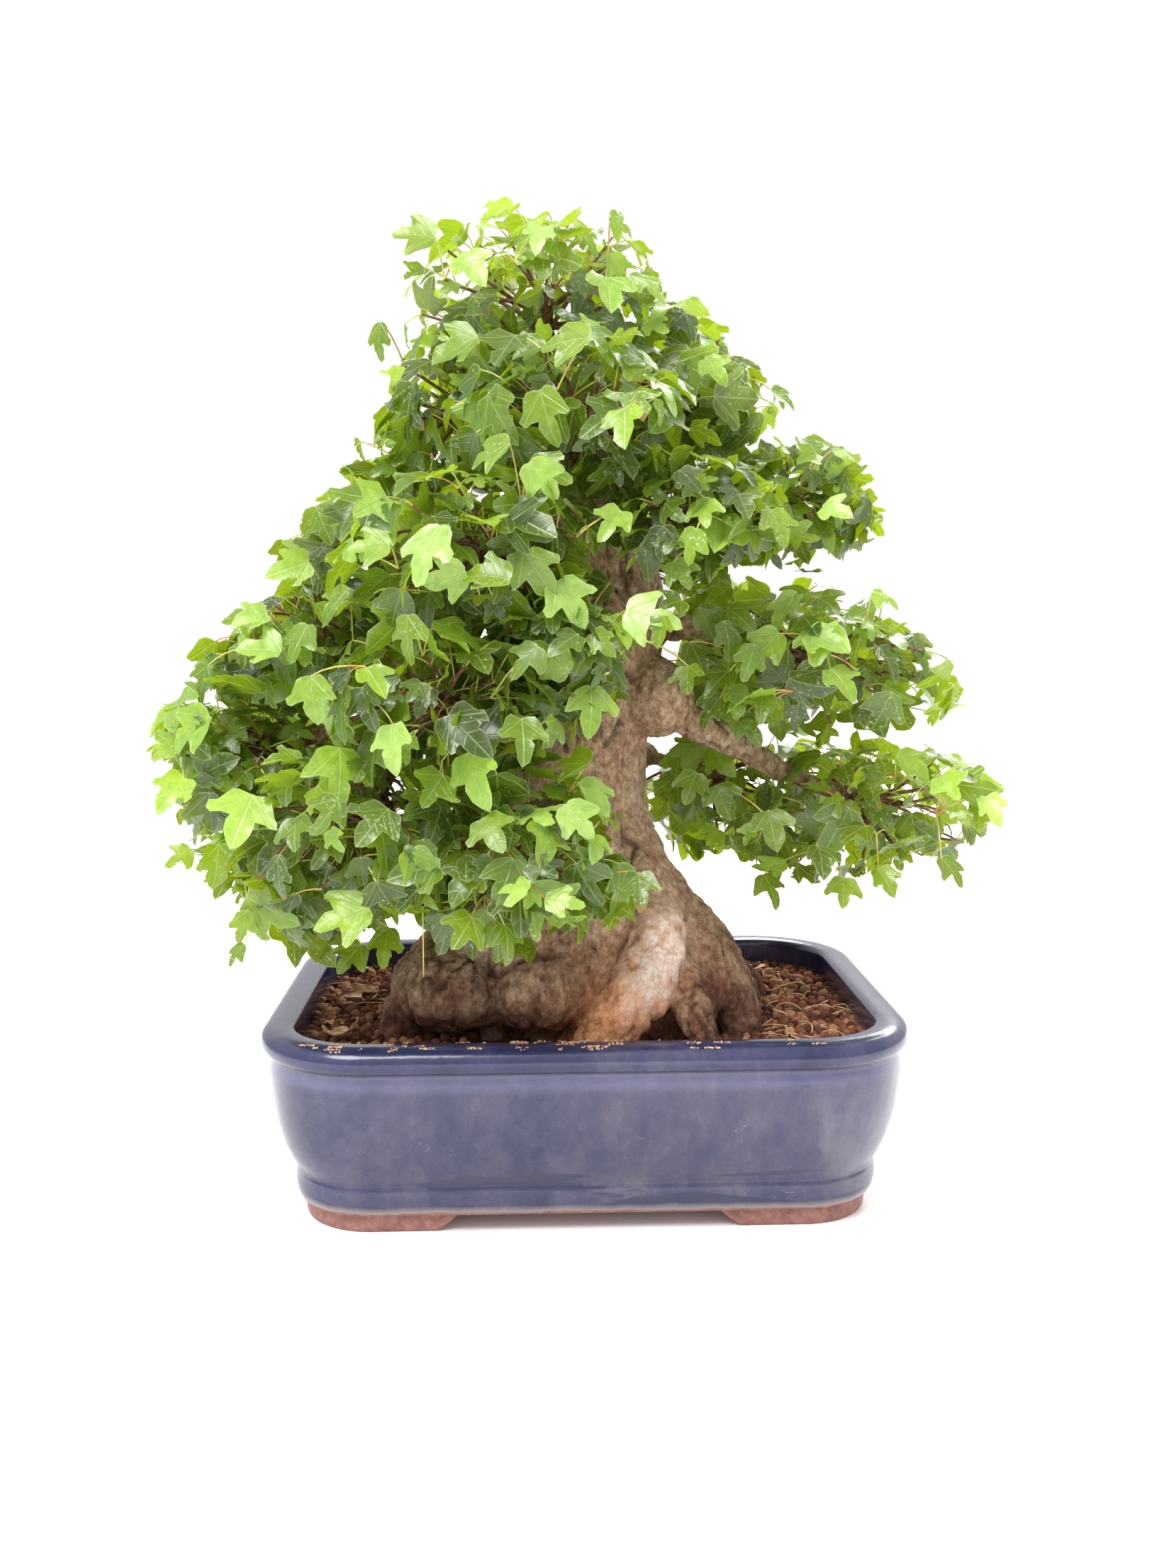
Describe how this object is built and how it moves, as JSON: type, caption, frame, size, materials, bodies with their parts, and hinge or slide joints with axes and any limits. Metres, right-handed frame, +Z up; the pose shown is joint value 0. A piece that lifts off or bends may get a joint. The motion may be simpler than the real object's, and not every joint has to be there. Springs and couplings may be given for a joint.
{
  "type": "bonsai tree",
  "caption": "Trident maple bonsai with a massive flared trunk and dense layered foliage, standing in a glazed oblong footed pot filled with granular soil.",
  "frame": {"origin": "on the surface the pot stands on, under the middle of the whole plant's box", "axes": "+Z up along the tree, +X along the pot's long side to the viewer's right, +Y to the back"},
  "size_m": [0.5412, 0.376, 0.5927],
  "materials": {
    "pot_glaze": "semi-gloss mottled blue glaze, unglazed red feet",
    "soil": "rough clay granules",
    "bark": "rough grey-brown bark",
    "screen": "black net",
    "dry_leaf": "dry tan leaf",
    "leaf": "satin green leaves"
  },
  "bodies": {
    "root": {"drain_screen_1": "screen", "drain_screen_2": "screen", "fallen_leaf_back": "dry_leaf", "fallen_leaf_front": "dry_leaf", "fallen_leaf_left": "dry_leaf", "pot": "pot_glaze", "soil": "soil", "spray_apex": "leaf", "spray_crown_back": "leaf", "spray_crown_front": "leaf", "spray_crown_left": "leaf", "spray_crown_right": "leaf", "spray_low_back": "leaf", "spray_low_front": "leaf", "spray_low_left": "leaf", "spray_low_left_back": "leaf", "spray_low_left_hang": "leaf", "spray_low_left_near": "leaf", "spray_low_right": "leaf", "spray_low_right_back": "leaf", "spray_mid_back": "leaf", "spray_mid_front": "leaf", "spray_mid_left": "leaf", "spray_mid_left_back": "leaf", "spray_mid_near": "leaf", "spray_mid_right": "leaf", "spray_mid_right_back": "leaf", "spray_shoulder_back": "leaf", "spray_shoulder_front": "leaf", "spray_shoulder_left": "leaf", "spray_shoulder_near": "leaf", "spray_shoulder_right": "leaf", "trunk": "bark"}
  },
  "joints": []
}
